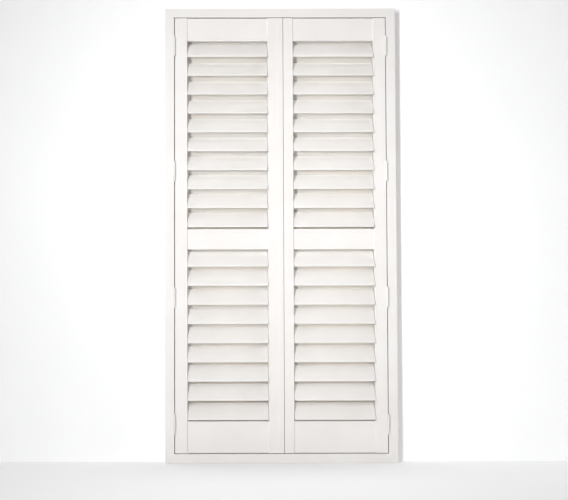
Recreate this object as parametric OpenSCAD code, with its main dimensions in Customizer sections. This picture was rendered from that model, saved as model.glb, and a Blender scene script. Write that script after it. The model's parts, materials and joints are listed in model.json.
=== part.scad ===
// Pair of louvred shutter panels hinged in a mitred rebate frame.
// X runs along the width, -Y is the room side and +Z is up. The origin is under the
// middle of the sill, in the plane of the louvre pivots.

/* [Frame] */
// Overall width of the frame
frame_w = 952; // [820:1:1200]
// Width of the frame's front face
frame_face = 38; // [32:1:50]
// How far the frame reaches behind the pivot plane
frame_back = 34; // [30:1:60]
// How far the light stop reaches in behind the panels' edges
stop_reach = 12; // [8:1:16]

/* [Panels] */
// Clearance round each panel and between the two
gap = 3; // [3:0.1:4]
// Width of a stile
stile_w = 51; // [45:1:60]
// Thickness of a stile
stile_t = 28; // [26:1:32]
// Thickness of a rail
rail_t = 18; // [16:1:22]
// Height of the top rail
top_rail_h = 94; // [70:1:140]
// Height of the middle rail
mid_rail_h = 84; // [60:1:120]
// Height of the bottom rail
bottom_rail_h = 130; // [80:1:180]
// How far one meeting stile laps over the other
meeting_lap = 12; // [8:1:14]
// Length of a rail's tenon
tenon_len = 20; // [12:1:24]

/* [Louvres] */
// Width of a louvre across its blade
louvre_w = 89; // [86:1:89]
// Thickness of a louvre at its middle
louvre_t = 11; // [9:0.5:11]
// Distance from one louvre pivot to the next
louvre_pitch = 78; // [78:1:84]
// Louvres above the middle rail
upper_louvres = 10; // [2:1:14]
// Louvres below the middle rail
lower_louvres = 9; // [2:1:14]
// Angle of the louvres from level, with the room-side edge down
rest_tilt = 46; // [0:1:60]
// Gap between a louvre's end and the stile
louvre_end_gap = 1.5; // [1.2:0.1:2]

/* [Tilt gear] */
// Radius of a louvre's end pin
pin_r = 3; // [2.5:0.1:3.5]
// Distance from a louvre's pivot to the tilt bar's peg
crank_r = 48.5; // [48.5:0.1:50]
// Distance from the end of a louvre to its tilt clip
clip_inset = 16; // [8:1:60]
// Width of the tilt bar
bar_w = 9; // [8:0.5:14]

/* [Hinges] */
// Hinges on each panel
hinge_count = 4; // [2:1:5]
// Length of a hinge
hinge_len = 80; // [60:1:100]
// Distance from a panel's end to the middle of its nearest hinge
hinge_inset = 117; // [80:1:160]
// Radius of the hinge barrel
barrel_r = 4.5; // [4:0.1:5]

/* [Fixing] */
// Screw holes along each jamb
fixing_count = 4; // [2:1:4]
// Distance between the screw holes
fixing_pitch = 400; // [300:1:400]
// Radius of a screw hole
fixing_r = 2.5; // [2:0.1:3]

/* [Hidden] */
$fn = 48;
SIDES = ["left", "right"];
BANKS = ["upper", "lower"];

// Clearances
running = 0.05;        // round a pin that turns
snug = 0.03;           // round a pin that is pushed in
stop_clear = 2;        // from a panel's back to the light stop
lap_clear = 1;         // each meeting stile to the middle plane of the lap
lip_gap = 1.6;         // beside the front lip
joint_clear = 0.1;     // round a tenon in its mortise

// How far a cutter runs past each face that it opens
over = 1;

// Eased corners of the painted timber
arris_r = 1.5;
rail_arris_r = 2;
arc_steps = 3;

// Quirk cut along the stiles' faces
quirk_w = 1.2;
quirk_depth = 0.8;
quirk_inset = 9;

// Raised strip along the front lip
strip_w = 25.4;
strip_proud = 1;
strip_edge_r = 0.9;

// Heights, from the underside of the sill
panel_z0 = frame_face + gap;
bottom_rail_top = panel_z0 + bottom_rail_h;
lower_bank_top = bottom_rail_top + lower_louvres * louvre_pitch;
mid_rail_top = lower_bank_top + mid_rail_h;
upper_bank_top = mid_rail_top + upper_louvres * louvre_pitch;
panel_z1 = upper_bank_top + top_rail_h;
frame_h = panel_z1 + gap + frame_face;

// Widths, from the middle of the frame to the right
front_y = -stile_t / 2;
back_y = stile_t / 2;
jamb_inner_x = frame_w / 2 - frame_face;
panel_x1 = jamb_inner_x - gap;
panel_x0 = gap / 2;
opening_x0 = panel_x0 + stile_w;
opening_x1 = panel_x1 - stile_w;
rail_len = opening_x1 - opening_x0;

// The meeting stiles: the left one's front lip laps the right one's back lip
lip_end = panel_x0 + meeting_lap - (gap + lip_gap) / 2;
strip_x0 = lip_end - strip_w;
strip_y = front_y - strip_proud;
lap_back_edge = -panel_x0 - gap;

// Tenons
tenon_t = 10;
tenon_shoulder = 12;

// Louvre, with its chord along Y before it is tilted
blade_steps = 36;
louvre_len = rail_len - 2 * louvre_end_gap;
pin_depth = 14;
pin_bore_extra = 0.5;
collar_r = 5;
collar_t = 1.1;

// Tilt clip in the blade's back edge, and the bar that joins the clips
clip_t = 2;
clip_neck = 1.2;
clip_root = 36;
eye_r = 3;
peg_r = 1.5;
lug_r = 2.6;
lug_neck = 2.2;
lug_t = 2.2;
lug_gap = 0.3;
peg_reach = 1.7;
bar_offset = 3.5;
bar_t = 2;
bar_end = 8;

// Hinges: the barrel stands in front of the gap that its leaves lie in
hinge_x = panel_x1 + gap / 2;
barrel_stand = 1;
hinge_y = front_y - barrel_r - barrel_stand;
hinge_pitch = (panel_z1 - panel_z0 - 2 * hinge_inset) / (hinge_count - 1);
leaf_t = 1.2;
leaf_w = 24.6;
leaf_clear = 0.4;
tab_start = 3;
tab_overlap = 0.2;
knuckles = 5;
knuckle_gap = 0.4;
knuckle_len = (hinge_len - (knuckles - 1) * knuckle_gap) / knuckles;
hinge_pin_r = 2;
pin_head_r = 3.4;
pin_head_t = 1.6;
leaf_hole_r = 1.8;
leaf_holes = 3;
leaf_hole_pitch = 28;
leaf_hole_share = 0.6;
leaf_sink_r = 3.2;
leaf_sink_slope = (leaf_sink_r - leaf_hole_r) / leaf_t;

// Fixing holes
fixing_y = 2;
sink_r = 5;
sink_depth = 3;
sink_slope = (sink_r - fixing_r) / sink_depth;

function louvre_count(bank) = bank == "upper" ? upper_louvres : lower_louvres;
function bank_top(bank) = bank == "upper" ? upper_bank_top : lower_bank_top;
function pivot_z(bank, i) = bank_top(bank) - (i - 0.5) * louvre_pitch;
function leaf_hole_z(k) = hinge_len / 2 + (k - (leaf_holes - 1) / 2) * leaf_hole_pitch;
function hinge_z(k) = panel_z0 + hinge_inset + k * hinge_pitch;
function bank_x0(side) = side == "left" ? -opening_x1 : opening_x0;
function rail_z(place) = place == "top" ? upper_bank_top : place == "mid" ? lower_bank_top : panel_z0;
function rail_h(place) = place == "top" ? top_rail_h : place == "mid" ? mid_rail_h : bottom_rail_h;
function louvre_name(side, bank, i) = str("louvre_", side, "_", bank, i < 10 ? "_0" : "_", i);

LOUVRES = [for (s = SIDES, b = BANKS, i = [1:louvre_count(b)]) [s, b, i]];

// Outline with the corner at each point rounded by the radius in the same place of the list.
// Every corner is square, and a radius of 0 leaves it sharp.
function unit(v) = v / norm(v);
function eased(pts, radii) = [
    for (i = [0:len(pts) - 1])
        let (
            p = pts[i],
            before = unit(pts[(i + len(pts) - 1) % len(pts)] - p),
            after = unit(pts[(i + 1) % len(pts)] - p),
            r = radii[i],
            centre = p + r * (before + after)
        )
        for (k = [0:r > 0 ? arc_steps : 0])
            let (a = 90 * k / arc_steps)
            r > 0 ? centre - r * (cos(a) * after + sin(a) * before) : p
];
function rectangle(x0, x1, y0, y1) = [[x0, y0], [x1, y0], [x1, y1], [x0, y1]];

// Mirrors what is drawn for the right-hand panel when the side is the left one.
module on_side(side) {
    mirror([side == "left" ? 1 : 0, 0, 0]) children();
}

// Turns a cylinder or an extrusion to run along +X.
module along_x() {
    rotate([90, 0, 90]) children();
}

// ---- Frame ----

// Rebate section: x is the distance in from the frame's outer edge.
module frame_section() {
    stop_y = back_y + stop_clear;
    inner = frame_face + stop_reach;
    outline = [
        [0, front_y], [frame_face, front_y], [frame_face, stop_y],
        [inner, stop_y], [inner, frame_back], [0, frame_back]
    ];
    polygon(eased(outline, [arris_r, arris_r, 0, arris_r, arris_r, arris_r]));
}

// One length of frame along +Z, mitred at both ends, with its outer edge at x = 0.
module frame_length(length) {
    cutter = 2 * (frame_face + frame_back);
    block = [2 * cutter, 2 * cutter, cutter];
    difference() {
        linear_extrude(length) frame_section();
        rotate([0, -45, 0]) translate([-cutter, -cutter, -cutter]) cube(block);
        translate([0, 0, length]) rotate([0, 45, 0]) translate([-cutter, -cutter, 0]) cube(block);
    }
}

module frame_sill() {
    color("white") translate([-frame_w / 2, 0, 0]) mirror([1, 0, -1]) frame_length(frame_w);
}

module frame_head() {
    color("white") translate([0, 0, frame_h]) mirror([0, 0, 1]) frame_sill();
}

// Countersunk screw holes through the jamb, between the hinges.
module fixing_holes() {
    for (k = [0:fixing_count - 1]) {
        z = frame_h / 2 + (k - (fixing_count - 1) / 2) * fixing_pitch;
        translate([-over, fixing_y, z]) along_x() cylinder(r = fixing_r, h = frame_face + 2 * over);
        translate([frame_face - sink_depth, fixing_y, z]) along_x()
            cylinder(r1 = fixing_r, r2 = sink_r + sink_slope * over, h = sink_depth + over);
    }
}

module frame_jamb(side) {
    color("white") on_side(side == "left" ? "right" : "left") translate([-frame_w / 2, 0, 0])
        difference() {
            frame_length(frame_h);
            fixing_holes();
        }
}

// ---- Hinges ----

// One half of a hinge, drawn for the frame side of the right-hand jamb: the leaf lies at
// positive x from the barrel's axis, with its screw holes countersunk in the face nearer to
// the axis. first is 0 or 1, the lowest knuckle that this half has.
module hinge_half(first) {
    leaf_y = barrel_r + leaf_clear;
    leaf_x = gap / 2 - leaf_t;
    difference() {
        union() {
            translate([leaf_x, leaf_y, 0]) cube([leaf_t, leaf_w, hinge_len]);
            for (k = [first:2:knuckles - 1])
                translate([0, 0, k * (knuckle_len + knuckle_gap)]) {
                    cylinder(r = barrel_r, h = knuckle_len);
                    translate([leaf_x, tab_start, 0])
                        cube([leaf_t, leaf_y - tab_start + tab_overlap, knuckle_len]);
                }
        }
        translate([0, 0, -over]) cylinder(r = hinge_pin_r + running, h = hinge_len + 2 * over);
        for (k = [0:leaf_holes - 1])
            translate([leaf_x - over, leaf_y + leaf_w * leaf_hole_share, leaf_hole_z(k)])
                along_x() cylinder(
                    r1 = leaf_sink_r + leaf_sink_slope * over,
                    r2 = leaf_hole_r - leaf_sink_slope * over,
                    h = leaf_t + 2 * over
                );
    }
}

module at_hinges() {
    for (k = [0:hinge_count - 1])
        translate([hinge_x, hinge_y, hinge_z(k) - hinge_len / 2]) children();
}

module hinge_frame_leaves() {
    color("whitesmoke") for (side = SIDES) on_side(side) at_hinges() hinge_half(0);
}

module hinge_panel_leaves(side) {
    color("whitesmoke") on_side(side) at_hinges() mirror([1, 0, 0]) hinge_half(1);
}

// Pin with a low head at each end of the barrel.
module hinge_pin() {
    cylinder(r = hinge_pin_r, h = hinge_len);
    translate([0, 0, -pin_head_t]) cylinder(r = pin_head_r, h = pin_head_t - knuckle_gap);
    translate([0, 0, -pin_head_t]) cylinder(r = hinge_pin_r, h = hinge_len + 2 * pin_head_t);
    translate([0, 0, hinge_len + knuckle_gap]) cylinder(r = pin_head_r, h = pin_head_t - knuckle_gap);
}

module hinge_pins() {
    color("whitesmoke") for (side = SIDES) on_side(side) at_hinges() hinge_pin();
}

// ---- Stiles and rails ----

// Narrow groove along both faces of a stile.
module quirks(x) {
    for (y = [front_y - over, back_y - quirk_depth])
        translate([x - quirk_w / 2, y]) square([quirk_w, quirk_depth + over]);
}

// Holes that the louvre pins turn in, cut from the face at x towards dir (1 or -1).
module pin_bores(x, dir) {
    depth = pin_depth + pin_bore_extra;
    for (b = BANKS, i = [1:louvre_count(b)])
        translate([dir > 0 ? x - over : x - depth, 0, pivot_z(b, i)])
            along_x() cylinder(r = pin_r + running, h = depth + over);
}

// Mortises for the three rails' tenons.
module mortises(x, dir) {
    depth = tenon_len + joint_clear;
    t = tenon_t + 2 * joint_clear;
    for (place = ["top", "mid", "bottom"]) {
        h = rail_h(place) - 2 * tenon_shoulder + 2 * joint_clear;
        translate([dir > 0 ? x - over : x - depth, -t / 2, rail_z(place) + tenon_shoulder - joint_clear])
            cube([depth + over, t, h]);
    }
}

module hinge_stile(side) {
    color("white") on_side(side) difference() {
        translate([0, 0, panel_z0]) linear_extrude(panel_z1 - panel_z0) difference() {
            polygon(eased(rectangle(opening_x1, panel_x1, front_y, back_y), [for (i = [1:4]) arris_r]));
            quirks(opening_x1 + quirk_inset);
        }
        pin_bores(opening_x1, 1);
        mortises(opening_x1, 1);
    }
}

// Left meeting stile, whose front lip covers the gap between the panels under a raised strip.
module left_meeting_section() {
    outline = [
        [-opening_x0, front_y], [strip_x0, front_y], [strip_x0, strip_y], [lip_end, strip_y],
        [lip_end, -lap_clear], [lap_back_edge, -lap_clear], [lap_back_edge, back_y], [-opening_x0, back_y]
    ];
    difference() {
        polygon(eased(outline, [arris_r, 0, strip_edge_r, arris_r, 0, 0, arris_r, arris_r]));
        quirks(-opening_x0 + quirk_inset);
    }
}

// Right meeting stile, whose back lip closes against the left one's front lip.
module right_meeting_section() {
    outline = [
        [lip_end + lip_gap, front_y], [opening_x0, front_y], [opening_x0, back_y],
        [lap_back_edge + gap, back_y], [lap_back_edge + gap, lap_clear], [lip_end + lip_gap, lap_clear]
    ];
    difference() {
        polygon(eased(outline, [arris_r, arris_r, arris_r, arris_r, 0, 0]));
        quirks(opening_x0 - quirk_inset);
    }
}

module meeting_stile(side) {
    left = side == "left";
    face = left ? -opening_x0 : opening_x0;
    dir = left ? 1 : -1;
    color("white") difference() {
        translate([0, 0, panel_z0]) linear_extrude(panel_z1 - panel_z0) {
            if (left) left_meeting_section();
            else right_meeting_section();
        }
        pin_bores(face, dir);
        mortises(face, dir);
    }
}

// Rail with a tenon at each end.
module rail(side, place) {
    z0 = rail_z(place);
    h = rail_h(place);
    color("white") translate([bank_x0(side), 0, z0]) {
        along_x() linear_extrude(rail_len)
            polygon(eased(rectangle(-rail_t / 2, rail_t / 2, 0, h), [for (i = [1:4]) rail_arris_r]));
        translate([-tenon_len, -tenon_t / 2, tenon_shoulder])
            cube([rail_len + 2 * tenon_len, tenon_t, h - 2 * tenon_shoulder]);
    }
}

// ---- Louvres and tilt bars ----

// Elliptical blade along +X from its left end, with a blind bore in each end and a pocket
// for the tilt clip in its back edge.
module louvre_blade() {
    bore_r = pin_r + snug;
    bore_len = pin_depth + pin_bore_extra;
    pocket = clip_t + 2 * snug;
    difference() {
        along_x() linear_extrude(louvre_len)
            polygon([for (k = [0:blade_steps - 1])
                let (a = 360 * k / blade_steps)
                [louvre_w / 2 * cos(a), louvre_t / 2 * sin(a)]]);
        translate([-over, 0, 0]) along_x() cylinder(r = bore_r, h = bore_len + over);
        translate([louvre_len - bore_len, 0, 0]) along_x() cylinder(r = bore_r, h = bore_len + over);
        translate([clip_inset - pocket / 2, clip_root - snug, -clip_neck - snug])
            cube([pocket, louvre_w, 2 * (clip_neck + snug)]);
    }
}

// Nylon pin from the stile into the blade, with a collar that spaces them. Drawn for the
// blade's left end, at x = 0.
module louvre_pin() {
    reach = pin_depth + louvre_end_gap;
    translate([-reach, 0, 0]) along_x() cylinder(r = pin_r, h = reach + pin_depth);
    translate([-(louvre_end_gap + collar_t) / 2, 0, 0]) along_x() cylinder(r = collar_r, h = collar_t);
}

// Clip whose eye the tilt bar's peg turns in.
module tilt_clip() {
    translate([clip_inset - clip_t / 2, 0, 0]) difference() {
        union() {
            translate([0, clip_root, -clip_neck]) cube([clip_t, crank_r - clip_root, 2 * clip_neck]);
            translate([0, crank_r, 0]) along_x() cylinder(r = eye_r, h = clip_t);
        }
        translate([-over, crank_r, 0]) along_x() cylinder(r = peg_r + running, h = clip_t + 2 * over);
    }
}

// One louvre: the blade, its two end pins and its tilt clip.
module louvre(side, bank, i) {
    translate([bank_x0(side) + louvre_end_gap, 0, pivot_z(bank, i)]) rotate([rest_tilt, 0, 0]) {
        color("white") louvre_blade();
        color("gainsboro") louvre_pin();
        color("gainsboro") translate([louvre_len, 0, 0]) mirror([1, 0, 0]) louvre_pin();
        color("silver") tilt_clip();
    }
}

// Lug and peg that take one louvre's clip, with the peg's axis at the origin.
module tilt_lug() {
    x0 = clip_t / 2 + lug_gap;
    translate([x0, 0, 0]) along_x() cylinder(r = lug_r, h = lug_t);
    translate([x0, 0, -lug_neck]) cube([lug_t, bar_offset + bar_t / 2, 2 * lug_neck]);
    translate([-peg_reach, 0, 0]) along_x() cylinder(r = peg_r, h = peg_reach + x0 + lug_t / 2);
}

// Upright strip behind the louvres of one bank, with a lug for each of them.
module tilt_bar(side, bank) {
    n = louvre_count(bank);
    x = bank_x0(side) + louvre_end_gap + clip_inset;
    y = crank_r * cos(rest_tilt);
    dz = crank_r * sin(rest_tilt);
    color("silver") translate([x, y, dz]) {
        translate([-bar_w / 2, bar_offset, pivot_z(bank, n) - bar_end])
            cube([bar_w, bar_t, (n - 1) * louvre_pitch + 2 * bar_end]);
        for (i = [1:n]) translate([0, 0, pivot_z(bank, i)]) tilt_lug();
    }
}

frame_head();
frame_sill();
frame_jamb("left");  // frame_jamb_left
frame_jamb("right");  // frame_jamb_right
hinge_frame_leaves();
hinge_pins();
for (s = SIDES) hinge_panel_leaves(s);
for (s = SIDES) hinge_stile(s);
for (s = SIDES) meeting_stile(s);
for (s = SIDES, p = ["top", "mid", "bottom"]) rail(s, p);
for (s = SIDES, b = BANKS) tilt_bar(s, b);
for (l = LOUVRES) louvre(l[0], l[1], l[2]);
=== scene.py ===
"""Finished look of two louvred shutter panels in their frame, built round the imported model."""

import json
import logging
import math
from dataclasses import dataclass
from enum import Enum
from typing import Any, Iterable, Sequence

import bmesh
import bpy
from mathutils import Matrix, Vector


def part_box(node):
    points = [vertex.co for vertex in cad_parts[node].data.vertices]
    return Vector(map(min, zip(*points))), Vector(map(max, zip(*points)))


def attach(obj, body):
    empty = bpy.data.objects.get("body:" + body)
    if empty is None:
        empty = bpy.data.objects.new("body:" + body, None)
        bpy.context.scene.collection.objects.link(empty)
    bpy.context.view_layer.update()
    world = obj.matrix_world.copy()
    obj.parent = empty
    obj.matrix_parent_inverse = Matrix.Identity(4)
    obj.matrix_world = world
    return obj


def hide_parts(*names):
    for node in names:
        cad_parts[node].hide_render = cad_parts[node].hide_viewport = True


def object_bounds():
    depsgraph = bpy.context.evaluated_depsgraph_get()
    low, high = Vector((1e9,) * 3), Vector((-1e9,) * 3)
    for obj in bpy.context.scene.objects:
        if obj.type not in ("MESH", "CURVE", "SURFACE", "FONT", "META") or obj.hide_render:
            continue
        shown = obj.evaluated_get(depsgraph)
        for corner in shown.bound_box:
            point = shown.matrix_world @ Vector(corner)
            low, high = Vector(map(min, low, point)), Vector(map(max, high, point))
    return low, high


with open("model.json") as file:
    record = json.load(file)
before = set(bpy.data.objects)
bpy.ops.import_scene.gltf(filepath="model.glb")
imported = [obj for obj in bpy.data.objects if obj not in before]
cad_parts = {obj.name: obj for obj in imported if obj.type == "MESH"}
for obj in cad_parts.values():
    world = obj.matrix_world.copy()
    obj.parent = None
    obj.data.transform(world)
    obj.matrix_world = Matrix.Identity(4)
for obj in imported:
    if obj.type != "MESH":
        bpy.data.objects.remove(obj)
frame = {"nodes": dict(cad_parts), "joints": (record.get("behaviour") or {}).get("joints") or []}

LOG = logging.getLogger("shutters")
CAD_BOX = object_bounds()
JOINTS = {joint["name"]: joint for joint in frame["joints"]}
MM = 0.001

Loop = list[Vector]
Corners = tuple[tuple[float, float, float], ...]


class Side(Enum):
    """Which of the two panels, as seen from the room."""

    LEFT = "left"
    RIGHT = "right"

    @property
    def sign(self) -> int:
        """-1 on the left and 1 on the right."""
        return -1 if self is Side.LEFT else 1


class Bank(Enum):
    """Which group of louvres in a panel, above or below the middle rail."""

    UPPER = "upper"
    LOWER = "lower"


class Grain(Enum):
    """The way a length of timber runs."""

    ACROSS = "across"
    UPRIGHT = "upright"

    def stretch(self, along: float, across: float) -> tuple[float, float, float]:
        """Scale of a pattern that is long along the grain and narrow across it.

        Args:
            along: length of a fibre mark, in metres.
            across: width of a fibre mark, in metres.

        Returns:
            Scale along X, Y and Z.
        """
        run, narrow = 1 / along, 1 / across
        return (run, narrow, narrow) if self is Grain.ACROSS else (narrow, narrow, run)


# ---- Shading tools ----


def linear(code: str) -> tuple[float, float, float, float]:
    """Turns an sRGB hex colour to the linear one that shaders take.

    Args:
        code: colour such as "#F4F1EC".

    Returns:
        Linear red, green, blue and an alpha of 1.
    """
    parts = [int(code[i : i + 2], 16) / 255 for i in (1, 3, 5)]
    return (*(c / 12.92 if c <= 0.04045 else ((c + 0.055) / 1.055) ** 2.4 for c in parts), 1.0)


def cells(size_mm: float) -> float:
    """Texture scale at which one cell of a pattern is size_mm across."""
    return 1 / (size_mm * MM)


def add_node(
    tree: bpy.types.NodeTree,
    kind: str,
    settings: dict[str, Any] | None = None,
    inputs: dict[Any, Any] | None = None,
) -> bpy.types.Node:
    """Adds one node with its settings, values and links.

    Args:
        tree: the material's or world's node tree.
        kind: the node's type name.
        settings: attributes to set on the node.
        inputs: value or output socket for each input, by its name or number.

    Returns:
        The new node.
    """
    node = tree.nodes.new(kind)
    for name, value in (settings or {}).items():
        setattr(node, name, value)
    for key, value in (inputs or {}).items():
        if isinstance(value, bpy.types.NodeSocket):
            tree.links.new(value, node.inputs[key])
        else:
            node.inputs[key].default_value = value
    return node


def new_material(name: str) -> tuple[bpy.types.Material, bpy.types.NodeTree]:
    """Makes an empty node material.

    Args:
        name: what the finish is called.

    Returns:
        The material and its cleared node tree.
    """
    material = bpy.data.materials.new(name)
    material.use_nodes = True
    material.node_tree.nodes.clear()
    return material, material.node_tree


@dataclass(frozen=True)
class SprayedPaint:
    """Satin water-borne paint sprayed over primed and sanded poplar.

    To the eye it is a warm white with a soft, broad sheen. The film is almost level: a faint
    orange peel breaks up the highlights, the grain telegraphs through as long shallow marks,
    and the tone drifts a little along each length, where the coat is thicker or thinner.
    """

    name: str
    grain: Grain
    colour: str = "#F4F1EE"
    thin_coat: str = "#F1EDE9"
    roughness: tuple[float, float] = (0.36, 0.48)
    ior: float = 1.48
    drift_mm: float = 170.0
    drift_detail: float = 3.0
    drift_range: tuple[float, float] = (0.35, 0.65)
    peel_mm: float = 3.0  # real peel is about 1 mm; this coarse, it still shows from a step away
    peel_detail: float = 2.0
    peel_height_mm: float = 0.035
    fibre_mm: tuple[float, float] = (90.0, 2.4)
    fibre_detail: float = 4.0
    fibre_range: tuple[float, float] = (0.3, 0.7)
    fibre_height_mm: float = 0.03

    def material(self) -> bpy.types.Material:
        """Builds the paint, with its grain along the timber.

        Returns:
            The material.
        """
        material, tree = new_material(self.name)
        place = add_node(tree, "ShaderNodeTexCoord").outputs["Object"]
        slow = {"Vector": place, "Scale": cells(self.drift_mm), "Detail": self.drift_detail}
        drift = add_node(tree, "ShaderNodeTexNoise", inputs=slow)
        along, across = (size * MM for size in self.fibre_mm)
        stretched = {"Vector": place, "Scale": self.grain.stretch(along, across)}
        run = add_node(tree, "ShaderNodeMapping", {"vector_type": "POINT"}, stretched)
        long = {"Vector": run.outputs[0], "Scale": 1.0, "Detail": self.fibre_detail}
        fibre = add_node(tree, "ShaderNodeTexNoise", inputs=long)
        fine = {"Vector": place, "Scale": cells(self.peel_mm), "Detail": self.peel_detail}
        peel = add_node(tree, "ShaderNodeTexNoise", inputs=fine)
        thin, thick = self.drift_range
        film = {"Value": drift.outputs["Fac"], "From Min": thin, "From Max": thick}
        coat = add_node(tree, "ShaderNodeMapRange", inputs=film)
        tones = {"Factor": coat.outputs[0], "A": linear(self.thin_coat), "B": linear(self.colour)}
        colour = add_node(tree, "ShaderNodeMix", {"data_type": "RGBA"}, tones)
        sheen = add_node(
            tree,
            "ShaderNodeMapRange",
            inputs={
                "Value": fibre.outputs["Fac"],
                "From Min": self.fibre_range[0],
                "From Max": self.fibre_range[1],
                "To Min": self.roughness[0],
                "To Max": self.roughness[1],
            },
        )
        raised = {"Height": fibre.outputs["Fac"], "Distance": self.fibre_height_mm * MM, "Strength": 1.0}
        marks = add_node(tree, "ShaderNodeBump", inputs=raised)
        skin = add_node(
            tree,
            "ShaderNodeBump",
            inputs={
                "Height": peel.outputs["Fac"],
                "Distance": self.peel_height_mm * MM,
                "Strength": 1.0,
                "Normal": marks.outputs[0],
            },
        )
        shader = add_node(
            tree,
            "ShaderNodeBsdfPrincipled",
            inputs={
                "Base Color": colour.outputs["Result"],
                "Roughness": sheen.outputs[0],
                "Normal": skin.outputs[0],
                "IOR": self.ior,
            },
        )
        add_node(tree, "ShaderNodeOutputMaterial", inputs={"Surface": shader.outputs[0]})
        return material


@dataclass(frozen=True)
class CoatedMetal:
    """Metal under a baked coat, or bare with its plating.

    The powder coat on the hinges and bars is a shade cooler than the paint, with a fine
    even stipple. Plated steel is bright and slightly clouded.
    """

    name: str
    colour: str
    cloud: str
    roughness: tuple[float, float]
    metallic: float = 0.0
    stipple_mm: float = 0.9
    stipple_detail: float = 1.0
    stipple_height_mm: float = 0.012
    cloud_mm: float = 14.0
    cloud_detail: float = 3.0
    cloud_range: tuple[float, float] = (0.3, 0.7)

    def material(self) -> bpy.types.Material:
        """Builds the coated or plated metal.

        Returns:
            The material.
        """
        material, tree = new_material(self.name)
        place = add_node(tree, "ShaderNodeTexCoord").outputs["Object"]
        slow = {"Vector": place, "Scale": cells(self.cloud_mm), "Detail": self.cloud_detail}
        cloud = add_node(tree, "ShaderNodeTexNoise", inputs=slow)
        fine = {"Vector": place, "Scale": cells(self.stipple_mm), "Detail": self.stipple_detail}
        stipple = add_node(tree, "ShaderNodeTexNoise", inputs=fine)
        tones = {"Factor": cloud.outputs["Fac"], "A": linear(self.cloud), "B": linear(self.colour)}
        colour = add_node(tree, "ShaderNodeMix", {"data_type": "RGBA"}, tones)
        sheen = add_node(
            tree,
            "ShaderNodeMapRange",
            inputs={
                "Value": cloud.outputs["Fac"],
                "From Min": self.cloud_range[0],
                "From Max": self.cloud_range[1],
                "To Min": self.roughness[0],
                "To Max": self.roughness[1],
            },
        )
        raised = {"Height": stipple.outputs["Fac"], "Distance": self.stipple_height_mm * MM, "Strength": 1.0}
        skin = add_node(tree, "ShaderNodeBump", inputs=raised)
        shader = add_node(
            tree,
            "ShaderNodeBsdfPrincipled",
            inputs={
                "Base Color": colour.outputs["Result"],
                "Metallic": self.metallic,
                "Roughness": sheen.outputs[0],
                "Normal": skin.outputs[0],
            },
        )
        add_node(tree, "ShaderNodeOutputMaterial", inputs={"Surface": shader.outputs[0]})
        return material


@dataclass(frozen=True)
class MouldedNylon:
    """Natural nylon 6 as it comes from the mould: milky, waxy and faintly mottled."""

    name: str
    colour: str = "#EFECE2"
    mottle: str = "#E2DED1"
    roughness: tuple[float, float] = (0.34, 0.46)
    ior: float = 1.53
    mottle_mm: float = 6.0
    mottle_detail: float = 2.0

    def material(self) -> bpy.types.Material:
        """Builds the moulded nylon.

        Returns:
            The material.
        """
        material, tree = new_material(self.name)
        place = add_node(tree, "ShaderNodeTexCoord").outputs["Object"]
        soft = {"Vector": place, "Scale": cells(self.mottle_mm), "Detail": self.mottle_detail}
        mottle = add_node(tree, "ShaderNodeTexNoise", inputs=soft).outputs["Fac"]
        tones = {"Factor": mottle, "A": linear(self.mottle), "B": linear(self.colour)}
        colour = add_node(tree, "ShaderNodeMix", {"data_type": "RGBA"}, tones).outputs["Result"]
        smooth, rough = self.roughness
        spread = {"Value": mottle, "To Min": smooth, "To Max": rough}
        sheen = add_node(tree, "ShaderNodeMapRange", inputs=spread).outputs[0]
        waxy = {"Base Color": colour, "Roughness": sheen, "IOR": self.ior}
        shader = add_node(tree, "ShaderNodeBsdfPrincipled", inputs=waxy)
        add_node(tree, "ShaderNodeOutputMaterial", inputs={"Surface": shader.outputs[0]})
        return material


@dataclass(frozen=True)
class Finishes:
    """Every finish on the shutters, made once and shared."""

    across: bpy.types.Material
    upright: bpy.types.Material
    blade: bpy.types.Material
    powder: bpy.types.Material
    zinc: bpy.types.Material
    nylon: bpy.types.Material

    @classmethod
    def make(cls) -> "Finishes":
        """Builds all the finishes.

        Returns:
            The finishes.
        """
        # painted light: the louvres' paint is a shade lighter than the same paint on the rails and stiles,
        # standing in for light that the tilted blades miss
        louvre_paint_lightened = SprayedPaint(
            "satin_paint_on_louvres_lightened", Grain.ACROSS, "#F9F6F3", "#F5F2EE", drift_mm=120.0
        )
        plate = CoatedMetal("bright_zinc_plate", "#C9CBCE", "#B3B6BA", (0.24, 0.38), metallic=1.0)
        return cls(
            across=SprayedPaint("satin_paint_on_rails", Grain.ACROSS).material(),
            upright=SprayedPaint("satin_paint_on_stiles", Grain.UPRIGHT).material(),
            blade=louvre_paint_lightened.material(),
            powder=CoatedMetal("white_powder_coat", "#F1F0EC", "#E9E7E2", (0.34, 0.44)).material(),
            zinc=plate.material(),
            nylon=MouldedNylon("natural_moulded_nylon").material(),
        )


def dress(nodes: Iterable[str], material: bpy.types.Material) -> None:
    """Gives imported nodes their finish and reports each.

    Args:
        nodes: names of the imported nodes.
        material: the finish for all their faces.
    """
    for name in nodes:
        for slot in frame["nodes"][name].material_slots:
            slot.material = material
        LOG.info("dressed %s with %s", name, material.name)


# ---- Mesh tools ----


def circle(radius: float, steps: int) -> list[tuple[float, float]]:
    """Points round a circle.

    Args:
        radius: its radius, in metres.
        steps: how many points.

    Returns:
        The points, as pairs.
    """
    turn = 2 * math.pi / steps
    return [(radius * math.cos(turn * k), radius * math.sin(turn * k)) for k in range(steps)]


def wall(
    mesh: bmesh.types.BMesh, low: Sequence[bmesh.types.BMVert], high: Sequence[bmesh.types.BMVert]
) -> None:
    """Joins two loops of equal length with a band of faces.

    Args:
        mesh: what the faces are added to.
        low: vertices round one edge of the band.
        high: vertices round its other edge.
    """
    for k in range(len(low)):
        n = (k + 1) % len(low)
        mesh.faces.new((low[k], low[n], high[n], high[k]))


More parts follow.
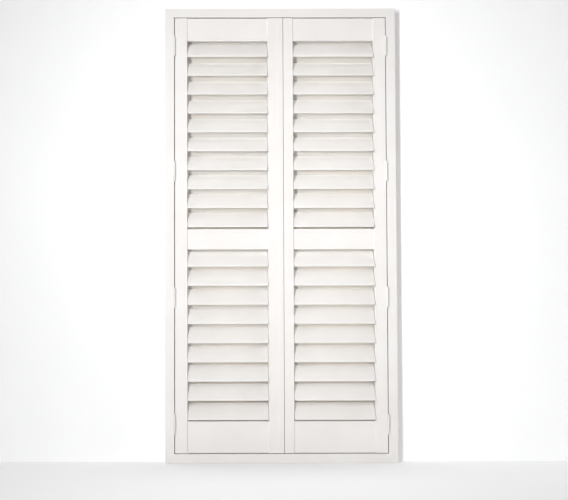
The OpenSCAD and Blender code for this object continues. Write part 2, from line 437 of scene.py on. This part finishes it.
def loft(mesh: bmesh.types.BMesh, rings: Sequence[Loop]) -> None:
    """Joins rings of equal length into one closed skin.

    Args:
        mesh: what the faces are added to.
        rings: closed loops of points, from one end of the skin to the other.
    """
    rows = [[mesh.verts.new(point) for point in ring] for ring in rings]
    for low, high in zip(rows, rows[1:]):
        wall(mesh, low, high)
    mesh.faces.new(rows[0])
    mesh.faces.new(rows[-1])


def fill(mesh: bmesh.types.BMesh, loops: Sequence[Sequence[bmesh.types.BMVert]]) -> None:
    """Fills the flat area between closed loops of vertices.

    Args:
        mesh: what the faces are added to.
        loops: the outer loop, then one for each hole.
    """
    edges = []
    for loop in loops:
        for a, b in zip(loop, [*loop[1:], loop[0]]):
            edges.append(mesh.edges.get((a, b)) or mesh.edges.new((a, b)))
    bmesh.ops.triangle_fill(mesh, use_beauty=True, use_dissolve=False, edges=edges)


def finish_mesh(
    mesh: bmesh.types.BMesh, name: str, place: Matrix, material: bpy.types.Material, crease_deg: float = 35.0
) -> bpy.types.Object:
    """Turns a built mesh into a piece.

    Args:
        mesh: the faces, in the piece's own axes; it is freed.
        name: the piece's name.
        place: where the piece's own axes lie in the shared frame.
        material: its finish.
        crease_deg: edges sharper than this stay crisp.

    Returns:
        The new object, with its place in its mesh.
    """
    bmesh.ops.transform(mesh, matrix=place, verts=mesh.verts)
    bmesh.ops.recalc_face_normals(mesh, faces=mesh.faces)
    data = bpy.data.meshes.new(name)
    mesh.to_mesh(data)
    mesh.free()
    data.shade_smooth()
    data.set_sharp_from_angle(angle=math.radians(crease_deg))
    data.materials.append(material)
    piece = bpy.data.objects.new(name, data)
    bpy.context.scene.collection.objects.link(piece)
    return piece


def seat(piece: bpy.types.Object, body: str, slot: str, *nodes: str) -> None:
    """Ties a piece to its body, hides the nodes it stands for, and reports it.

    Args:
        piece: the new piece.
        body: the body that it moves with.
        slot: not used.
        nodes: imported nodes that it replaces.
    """
    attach(piece, body)
    if nodes:
        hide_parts(*nodes)
    LOG.info("built %s on %s, %d faces", piece.name, body, len(piece.data.polygons))


# ---- Sub-assemblies ----


@dataclass
class RebateFrame:
    """The fixed frame: head, sill and two jambs, mitred at the corners."""

    finishes: Finishes

    def build(self) -> None:
        """Dresses the four lengths, each with the grain along it."""
        dress(("frame_head", "frame_sill"), self.finishes.across)
        dress(("frame_jamb_left", "frame_jamb_right"), self.finishes.upright)


@dataclass
class HingeSet:
    """Barrel hinges down both sides, and the countersunk screws in their leaves.

    Lengths are in metres.
    """

    finishes: Finishes
    count: int = 4
    end_inset: float = 0.117
    hole_pitch: float = 0.028
    holes: int = 3
    hole_behind_axis: float = 0.01966
    leaf_from_axis: float = 0.0003
    head_radius: float = 0.00315
    head_depth: float = 0.0011
    shank_radius: float = 0.0017
    sunk: float = 0.00005
    slot_arm: float = 0.0019
    slot_half_width: float = 0.00042
    slot_depth: float = 0.0008
    rim_steps: int = 32
    first_turn_deg: float = 17.0
    next_turn_deg: float = 23.0
    crease_deg: float = 25.0

    def heights(self) -> list[float]:
        """Works out how high the screws are.

        Returns:
            Height of every screw, from the lowest hinge up.
        """
        low, high = (corner.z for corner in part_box("stile_left_hinge"))
        pitch = (high - low - 2 * self.end_inset) / (self.count - 1)
        middle = (self.holes - 1) / 2
        return [
            low + self.end_inset + hinge * pitch + (hole - middle) * self.hole_pitch
            for hinge in range(self.count)
            for hole in range(self.holes)
        ]

    def add_screw(self, mesh: bmesh.types.BMesh, place: Matrix) -> None:
        """Adds one cross-slotted screw head, its face at z = 0 and looking up.

        Args:
            mesh: what the faces are added to.
            place: where the head's own axes lie in the shared frame.
        """
        arm, half = self.slot_arm, self.slot_half_width
        cross = [
            (x * math.cos(turn) - y * math.sin(turn), x * math.sin(turn) + y * math.cos(turn))
            for turn in (math.pi / 2 * k for k in range(4))
            for x, y in ((arm, -half), (arm, half), (half, half))
        ]

        def ring(points: Sequence[tuple[float, float]], z: float) -> list[bmesh.types.BMVert]:
            """Adds a level loop of vertices."""
            return [mesh.verts.new(place @ Vector((x, y, z))) for x, y in points]

        rim = ring(circle(self.head_radius, self.rim_steps), 0.0)
        shank = ring(circle(self.shank_radius, self.rim_steps), -self.head_depth)
        mouth = ring(cross, 0.0)
        floor = ring(cross, -self.slot_depth)
        fill(mesh, (rim, mouth))
        fill(mesh, (floor,))
        wall(mesh, rim, shank)
        wall(mesh, mouth, floor)
        mesh.faces.new(shank)

    def screws(self, name: str, body: str, sides: Sequence[Side], on_panel: bool) -> None:
        """Builds the screws that hold one set of leaves.

        Args:
            name: the piece's name.
            body: the body that it moves with.
            sides: which hinges.
            on_panel: True for the leaves on the panel's edge, False for those on the jamb.
        """
        mesh = bmesh.new()
        for side in sides:
            axis = Vector(JOINTS[f"open_panel_{side.value}"]["pos_m"])
            facing = side.sign * (1 if on_panel else -1)
            x = axis.x - facing * (self.leaf_from_axis + self.sunk)
            lay = Matrix.Rotation(facing * math.pi / 2, 4, "Y")
            for number, z in enumerate(self.heights()):
                turn_deg = self.first_turn_deg + self.next_turn_deg * number
                spin = Matrix.Rotation(math.radians(turn_deg), 4, "Z")
                spot = Matrix.Translation((x, axis.y + self.hole_behind_axis, z))
                self.add_screw(mesh, spot @ lay @ spin)
        piece = finish_mesh(mesh, name, Matrix.Identity(4), self.finishes.zinc, self.crease_deg)
        seat(piece, body, "coated_hinge")

    def build(self) -> None:
        """Dresses the leaves and pins and adds the screws."""
        coated = ("hinge_frame_leaves", "hinge_pins", "hinge_leaves_left", "hinge_leaves_right")
        dress(coated, self.finishes.powder)
        self.screws("screws_in_frame_leaves", "frame", tuple(Side), on_panel=False)
        for side in Side:
            self.screws(f"screws_in_{side.value}_leaves", f"panel_{side.value}", (side,), on_panel=True)


@dataclass
class Panel:
    """One hinged panel: two stiles and three rails."""

    side: Side
    finishes: Finishes

    def build(self) -> None:
        """Dresses the stiles and rails, each with the grain along it."""
        name = self.side.value
        dress((f"stile_{name}_hinge", f"stile_{name}_meeting"), self.finishes.upright)
        dress((f"{place}_rail_{name}" for place in ("top", "mid", "bottom")), self.finishes.across)


@dataclass
class LouvreBank:
    """One bank of louvres with their end pins and tilt clips, and the bar that joins them.

    Lengths are in metres.
    """

    side: Side
    bank: Bank
    finishes: Finishes
    chord: float = 0.089
    thickness: float = 0.011
    end_gap: float = 0.0015
    edge_round: float = 0.0006
    round_steps: int = 3
    blade_steps: int = 72
    pin_radius: float = 0.003
    pin_depth: float = 0.014
    pin_fit: float = 0.00003
    pin_chamfer: float = 0.0004
    collar_radius: float = 0.005
    collar_thickness: float = 0.0011
    pin_steps: int = 32
    clip_inset: float = 0.016
    clip_thickness: float = 0.002
    clip_root: float = 0.036
    clip_half_neck: float = 0.0012
    crank: float = 0.0485
    eye_radius: float = 0.003
    eye_bore: float = 0.00155
    eye_steps: int = 32

    @property
    def bar(self) -> str:
        """Name of the bank's tilt bar, both node and body."""
        return f"tilt_bar_{self.side.value}_{self.bank.value}"

    def nodes(self) -> list[str]:
        """Names of the bank's louvre nodes, from the top down."""
        start = f"louvre_{self.side.value}_{self.bank.value}_"
        return sorted(name for name in frame["nodes"] if name.startswith(start))

    def joint_of(self, node: str) -> dict[str, Any]:
        """The joint that a louvre turns in."""
        return next(joint for joint in frame["joints"] if joint["child"] == node)

    def tilt(self, node: str) -> float:
        """How far the louvre leans from level at rest, in radians, midway in its travel."""
        low, high = self.joint_of(node)["range_deg"]
        return math.radians(-(low + high) / 2)

    def place(self, node: str) -> Matrix:
        """Axes of a louvre: X from its left end along it, Y across its blade."""
        pivot = Vector(self.joint_of(node)["pos_m"])
        return Matrix.Translation(pivot) @ Matrix.Rotation(self.tilt(node), 4, "X")

    def ends(self, node: str) -> tuple[float, float]:
        """Finds where a blade starts and stops.

        Args:
            node: the louvre's node.

        Returns:
            How far along X from the pivot's point its two ends are.
        """
        low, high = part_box(node)
        start = Vector(self.joint_of(node)["pos_m"]).x
        return low.x + self.pin_depth + self.end_gap - start, high.x - self.pin_depth - self.end_gap - start

    def ellipse(self, inset: float) -> list[tuple[float, float]]:
        """Outline of the blade, moved in by inset."""
        across, thick = self.chord / 2 - inset, self.thickness / 2 - inset
        return [(y * across, z * thick) for y, z in circle(1.0, self.blade_steps)]

    def blade(self, node: str) -> bpy.types.Object:
        """Builds the smooth elliptical blade, its ends eased and bored for the pins.

        Args:
            node: the louvre's node.

        Returns:
            The piece.
        """
        first, last = self.ends(node)
        bore = circle(self.pin_radius + self.pin_fit, self.blade_steps)
        stations = [(first + self.pin_depth, bore), (first, bore)]
        for angle in (math.pi / 2 * k / self.round_steps for k in range(self.round_steps + 1)):
            inset = self.edge_round * (1 - math.sin(angle))
            stations.append((first + self.edge_round * (1 - math.cos(angle)), self.ellipse(inset)))
        mirrored = [(first + last - x, outline) for x, outline in reversed(stations)]
        mesh = bmesh.new()
        loft(mesh, [[Vector((x, y, z)) for y, z in outline] for x, outline in stations + mirrored])
        return finish_mesh(mesh, node.replace("louvre", "blade"), self.place(node), self.finishes.blade)

    def pins(self, node: str) -> bpy.types.Object:
        """Builds the two pins, each with the collar that spaces blade from stile.

        Args:
            node: the louvre's node.

        Returns:
            The piece.
        """
        first, last = self.ends(node)
        pin, collar, cut = self.pin_radius, self.collar_radius, self.pin_chamfer
        out, deep = self.pin_depth + self.end_gap, self.pin_depth
        near, far = -(self.end_gap + self.collar_thickness) / 2, -(self.end_gap - self.collar_thickness) / 2
        profile = [
            (-out, pin - cut),
            (cut - out, pin),
            (near, pin),
            (near, collar),
            (far, collar),
            (far, pin),
            (deep - cut, pin),
            (deep, pin - cut),
        ]
        mesh = bmesh.new()
        for face, way in ((first, 1), (last, -1)):
            rings = [(face + way * x, circle(radius, self.pin_steps)) for x, radius in profile]
            loft(mesh, [[Vector((x, y, z)) for y, z in ring] for x, ring in rings])
        return finish_mesh(mesh, node.replace("louvre", "pins"), self.place(node), self.finishes.nylon)

    def clip(self, node: str) -> bpy.types.Object:
        """Builds the plate in the blade's back edge, with the eye for the bar's peg.

        Args:
            node: the louvre's node.

        Returns:
            The piece.
        """
        middle = self.ends(node)[0] + self.clip_inset
        half, neck = self.clip_thickness / 2, self.clip_half_neck
        radius = self.eye_radius
        open_angle = math.asin(neck / radius)
        sweep = 2 * (math.pi - open_angle)
        turns = [open_angle + sweep * k / self.eye_steps for k in range(self.eye_steps + 1)]
        eye = [(self.crank - radius * math.cos(turn), -radius * math.sin(turn)) for turn in turns]
        outline = [(self.clip_root, neck), (self.clip_root, -neck), *eye]
        bore = [(self.crank + y, z) for y, z in circle(self.eye_bore, self.eye_steps)]
        mesh = bmesh.new()
        faces = []
        for x in (middle - half, middle + half):
            loops = [[mesh.verts.new((x, y, z)) for y, z in loop] for loop in (outline, bore)]
            fill(mesh, loops)
            faces.append(loops)
        for low, high in zip(*faces):
            wall(mesh, low, high)
        return finish_mesh(mesh, node.replace("louvre", "clip"), self.place(node), self.finishes.zinc)

    def build(self) -> None:
        """Builds every louvre and dresses the tilt bar."""
        for node in self.nodes():
            for piece in (self.blade(node), self.pins(node), self.clip(node)):
                seat(piece, node, "painted_louvre", node)
        dress((self.bar,), self.finishes.powder)


# ---- Studio ----


@dataclass(frozen=True)
class SoftBox:
    """One rectangular lamp, unseen itself, that looks at a point. Lengths are in metres."""

    name: str
    place: tuple[float, float, float]
    aim: tuple[float, float, float]
    size: tuple[float, float]
    watts: float
    colour: str = "#FFFFFF"
    spread_deg: float = 180.0

    def build(self) -> None:
        """Adds the lamp."""
        lamp = bpy.data.lights.new(self.name, "AREA")
        lamp.shape = "RECTANGLE"
        lamp.size, lamp.size_y = self.size
        lamp.energy = self.watts
        lamp.color = linear(self.colour)[:3]
        lamp.spread = math.radians(self.spread_deg)
        holder = bpy.data.objects.new(self.name, lamp)
        holder.location = self.place
        holder.visible_camera = False
        look = Vector(self.aim) - Vector(self.place)
        holder.rotation_euler = look.to_track_quat("-Z", "Y").to_euler()
        bpy.context.scene.collection.objects.link(holder)


@dataclass(frozen=True)
class Paper:
    """Matt white paper for one sheet of the studio.

    To the eye it is flat and even, with a slow drift of tone. A board may be seen from its front
    only, and may carry painted shade towards its foot, where its colour darkens.
    """

    name: str
    colour: str
    glow: float = 0.0
    one_sided: bool = False
    foot_painted_shade: str = ""
    foot_mm: tuple[float, float] = (120.0, 520.0)
    shade: str = "#F3F3F3"
    mottle_mm: float = 900.0
    mottle_detail: float = 2.0
    roughness: float = 0.6

    def material(self) -> bpy.types.Material:
        """Builds the paper.

        Returns:
            The material.
        """
        material, tree = new_material(f"{self.name}_paper")
        place = add_node(tree, "ShaderNodeTexCoord").outputs["Object"]
        soft = {"Vector": place, "Scale": cells(self.mottle_mm), "Detail": self.mottle_detail}
        mottle = add_node(tree, "ShaderNodeTexNoise", inputs=soft).outputs["Fac"]
        tones = {"Factor": mottle, "A": linear(self.shade), "B": linear(self.colour)}
        colour = add_node(tree, "ShaderNodeMix", {"data_type": "RGBA"}, tones).outputs["Result"]
        # painted shade: the colour darkens to the foot colour towards the sheet's foot, standing in for
        # shade there
        if self.foot_painted_shade:
            height = add_node(tree, "ShaderNodeSeparateXYZ", inputs={"Vector": place}).outputs["Z"]
            low, high = (size * MM for size in self.foot_mm)
            smooth = {"interpolation_type": "SMOOTHSTEP"}
            climb = {"Value": height, "From Min": low, "From Max": high}
            rise = add_node(tree, "ShaderNodeMapRange", smooth, climb).outputs[0]
            tones = {"Factor": rise, "A": linear(self.foot_painted_shade), "B": colour}
            colour = add_node(tree, "ShaderNodeMix", {"data_type": "RGBA"}, tones).outputs["Result"]
        matt = {"Color": colour, "Roughness": self.roughness}
        surface = add_node(tree, "ShaderNodeBsdfDiffuse", inputs=matt).outputs[0]
        if self.glow:
            lit = add_node(tree, "ShaderNodeEmission", inputs={"Strength": self.glow}).outputs[0]
            surface = add_node(tree, "ShaderNodeAddShader", inputs={0: surface, 1: lit}).outputs[0]
        if self.one_sided:
            clear = add_node(tree, "ShaderNodeBsdfTransparent").outputs[0]
            behind = add_node(tree, "ShaderNodeNewGeometry").outputs["Backfacing"]
            choice = {0: behind, 1: surface, 2: clear}
            surface = add_node(tree, "ShaderNodeMixShader", inputs=choice).outputs[0]
        add_node(tree, "ShaderNodeOutputMaterial", inputs={"Surface": surface})
        return material


@dataclass
class Studio:
    """Pale floor, a pale board close behind the frame, a warmer lining before it, and soft lamps.

    The lining is what shows between the louvres. It doesn't glow, so that the stiles' and blades'
    shadows on it stay deep. Its foot is painted darker, as painted shade. Lengths are in metres.
    """

    floor_half: float = 14.0
    board_behind: float = 0.003
    board_half: float = 14.0
    board_height: float = 9.0
    lining_inset: float = 0.015
    floor: Paper = Paper("floor", "#F3F3F3", glow=0.03)
    board: Paper = Paper("board", "#FBFBFB", glow=0.15, one_sided=True)
    # the lining's foot colour is painted shade, darker towards the floor
    lining: Paper = Paper("lining", "#FEF7E9", one_sided=True, foot_painted_shade="#DDD4C9")
    air: str = "#FFFEFB"
    air_strength: float = 0.225
    # each lamp's name, place, aim, size and watts, and for some a colour and a spread
    lamps: tuple[SoftBox, ...] = (
        SoftBox("key_high", (-1.95, -4.6, 2.4), (0.3, 0.0, 1.1), (0.6, 0.7), 8.8, spread_deg=58.0),
        SoftBox("key_low", (-1.95, -4.6, 1.15), (0.3, 0.0, 1.0), (0.6, 0.6), 10.0, "#F8FAFF", 56.0),
        SoftBox("sky", (0.0, -3.2, 5.0), (0.0, 0.0, 0.6), (3.0, 1.6), 8.0, spread_deg=90.0),
        SoftBox("overhead", (0.0, 0.4, 5.0), (0.0, 0.4, 0.0), (3.4, 0.7), 54.0),
        SoftBox("back", (0.7, 3.0, -0.9), (0.0, 0.0, 1.1), (2.4, 0.9), 16.0),
    )

    @staticmethod
    def lay(paper: Paper, corners: Corners) -> None:
        """Adds one flat sheet, which casts no shadow.

        Args:
            paper: what the sheet is made of, which also names it.
            corners: its four corners, anticlockwise from the side that is seen.
        """
        mesh = bmesh.new()
        mesh.faces.new([mesh.verts.new(corner) for corner in corners])
        data = bpy.data.meshes.new(paper.name)
        mesh.to_mesh(data)
        mesh.free()
        data.materials.append(paper.material())
        sheet = bpy.data.objects.new(paper.name, data)
        sheet.visible_shadow = False
        bpy.context.scene.collection.objects.link(sheet)

    @staticmethod
    def upright(left: float, right: float, bottom: float, top: float, y: float) -> Corners:
        """Corners of a sheet that stands square to Y and is seen from in front."""
        return (left, y, bottom), (right, y, bottom), (right, y, top), (left, y, top)

    def set_papers(self) -> None:
        """Lays the floor and stands the board, with the lining inside the frame's outline."""
        low, high = CAD_BOX
        floor, board, inset = self.floor_half, self.board_half, self.lining_inset
        ground = ((-floor, -floor, 0), (floor, -floor, 0), (floor, floor, 0), (-floor, floor, 0))
        self.lay(self.floor, ground)
        y = high.y + self.board_behind
        self.lay(self.board, self.upright(-board, board, 0, self.board_height, y))
        y = high.y + self.board_behind / 2
        self.lay(self.lining, self.upright(low.x + inset, high.x - inset, inset, high.z - inset, y))

    def fill_air(self) -> None:
        """Fills the room with faint even light."""
        world = bpy.data.worlds.new("studio_air")
        world.use_nodes = True
        tree = world.node_tree
        tree.nodes.clear()
        even = {"Color": linear(self.air), "Strength": self.air_strength}
        glow = add_node(tree, "ShaderNodeBackground", inputs=even)
        add_node(tree, "ShaderNodeOutputWorld", inputs={"Surface": glow.outputs[0]})
        bpy.context.scene.world = world

    def build(self) -> None:
        """Sets up the papers, the lamps and the air."""
        self.set_papers()
        for lamp in self.lamps:
            lamp.build()
        self.fill_air()
        bpy.context.scene.view_settings.view_transform = "Standard"
        LOG.info("studio is lit by %d lamps", len(self.lamps))


@dataclass
class ViewCamera:
    """Camera a little left of the middle and below it, looking slightly up.

    Its place is in metres. Its shift is in widths of the picture.
    """

    place: tuple[float, float, float] = (-0.272, -4.507, 0.696)
    lens_mm: float = 69.4
    sensor_mm: float = 36.0
    turn_right_deg: float = 0.09
    look_up_deg: float = 2.17
    lean_deg: float = 0.11
    shift: tuple[float, float] = (0.1189, 0.0019)

    def build(self) -> None:
        """Adds the camera and makes it the scene's own."""
        data = bpy.data.cameras.new("camera")
        data.lens, data.sensor_width = self.lens_mm, self.sensor_mm
        data.shift_x, data.shift_y = self.shift
        camera = bpy.data.objects.new("camera", data)
        camera.location = self.place
        camera.rotation_euler = (
            math.radians(90 + self.look_up_deg),
            math.radians(self.lean_deg),
            -math.radians(self.turn_right_deg),
        )
        bpy.context.scene.collection.objects.link(camera)
        bpy.context.scene.camera = camera
        LOG.info("camera stands at %s", self.place)


def main() -> None:
    """Builds the camera, the studio and every sub-assembly."""
    logging.basicConfig(level=logging.INFO, format="%(name)s: %(message)s")
    ViewCamera().build()
    Studio().build()
    finishes = Finishes.make()
    RebateFrame(finishes).build()
    HingeSet(finishes).build()
    for side in Side:
        Panel(side, finishes).build()
        for bank in Bank:
            LouvreBank(side, bank, finishes).build()


if __name__ == "__main__":
    main()
